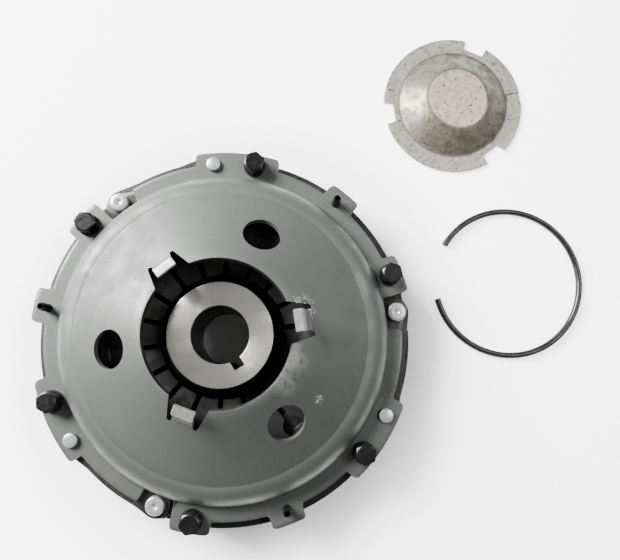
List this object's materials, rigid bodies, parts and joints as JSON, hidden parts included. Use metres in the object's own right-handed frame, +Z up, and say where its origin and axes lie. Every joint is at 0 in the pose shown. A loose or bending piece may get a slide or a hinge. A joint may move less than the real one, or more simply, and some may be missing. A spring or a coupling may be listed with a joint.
{
  "type": "diaphragm spring friction clutch",
  "caption": "Dry friction clutch: pressed conical cover with bent tongues over a pull-type diaphragm spring, pressure plate on drive straps, keyed hub, loose centre cap and wire ring.",
  "frame": {"origin": "centre of the whole set's underside, the surface it stands on", "axes": "+Z up along the clutch axis, from the flywheel plate to the cover; +X along the set's longest side, from the clutch towards the wire ring"},
  "size_m": [0.3758, 0.3478, 0.0824],
  "materials": {
    "phosphate_grey": "matt phosphated sheet steel, worn",
    "cast_iron_black": "black, turned",
    "cast_iron_brown": "brown-black, rough cast",
    "spring_steel": "dark oiled",
    "strap_steel": "brown-black, oiled",
    "black_oxide": "satin black oxide",
    "zinc_plate": "bright zinc plate",
    "machined_steel": "turned bright steel",
    "friction_lining": "matt friction lining",
    "aged_steel": "aged pressed steel, brown specks",
    "ring_steel": "dark steel wire"
  },
  "bodies": {
    "cover_assembly": {"clutch_cover": "phosphate_grey", "flywheel_plate": "cast_iron_black", "diaphragm_spring": "spring_steel", "drive_strap_1_lower": "strap_steel", "drive_strap_1_upper": "strap_steel", "drive_strap_2_lower": "strap_steel", "drive_strap_2_upper": "strap_steel", "drive_strap_3_lower": "strap_steel", "drive_strap_3_upper": "strap_steel", "cover_bolt_1": "black_oxide", "cover_bolt_2": "black_oxide", "cover_bolt_3": "black_oxide", "cover_bolt_4": "black_oxide", "cover_bolt_5": "black_oxide", "cover_bolt_6": "black_oxide", "spring_washer_1": "black_oxide", "spring_washer_2": "black_oxide", "spring_washer_3": "black_oxide", "spring_washer_4": "black_oxide", "spring_washer_5": "black_oxide", "spring_washer_6": "black_oxide", "roll_pin_1": "black_oxide", "roll_pin_2": "black_oxide", "roll_pin_3": "black_oxide", "cover_rivet_1": "zinc_plate", "cover_rivet_2": "zinc_plate", "cover_rivet_3": "zinc_plate"},
    "pressure_assembly": {"pressure_plate": "cast_iron_brown", "lug_rivet_1": "zinc_plate", "lug_rivet_2": "zinc_plate", "lug_rivet_3": "zinc_plate"},
    "friction_disc": {"drive_hub": "machined_steel", "disc_carrier": "strap_steel", "lower_facing": "friction_lining", "upper_facing": "friction_lining", "disc_rivet_1": "strap_steel", "disc_rivet_2": "strap_steel", "disc_rivet_3": "strap_steel", "disc_rivet_4": "strap_steel", "disc_rivet_5": "strap_steel", "disc_rivet_6": "strap_steel"},
    "centre_cap": {"centre_cap": "aged_steel"},
    "retaining_ring": {"cap_retaining_ring": "ring_steel"}
  },
  "joints": [
    {"name": "release_travel", "type": "slide", "parent": "cover_assembly", "child": "pressure_assembly", "axis": [0, 0, 1], "range_m": [0, 0.0011], "deforming": ["diaphragm_spring", "drive_strap_1_lower", "drive_strap_1_upper", "drive_strap_2_lower", "drive_strap_2_upper", "drive_strap_3_lower", "drive_strap_3_upper"]},
    {"name": "disc_spin", "type": "hinge", "parent": "cover_assembly", "child": "friction_disc", "pos_m": [-0.0645, -0.05149, 0], "axis": [0, 0, 1], "continuous": true},
    {"name": "cap_lift", "type": "slide", "parent": "cover_assembly", "child": "centre_cap", "axis": [0, 0, 1], "range_m": [0, 0.03]},
    {"name": "ring_lift", "type": "slide", "parent": "cover_assembly", "child": "retaining_ring", "axis": [0, 0, 1], "range_m": [0, 0.03]}
  ]
}
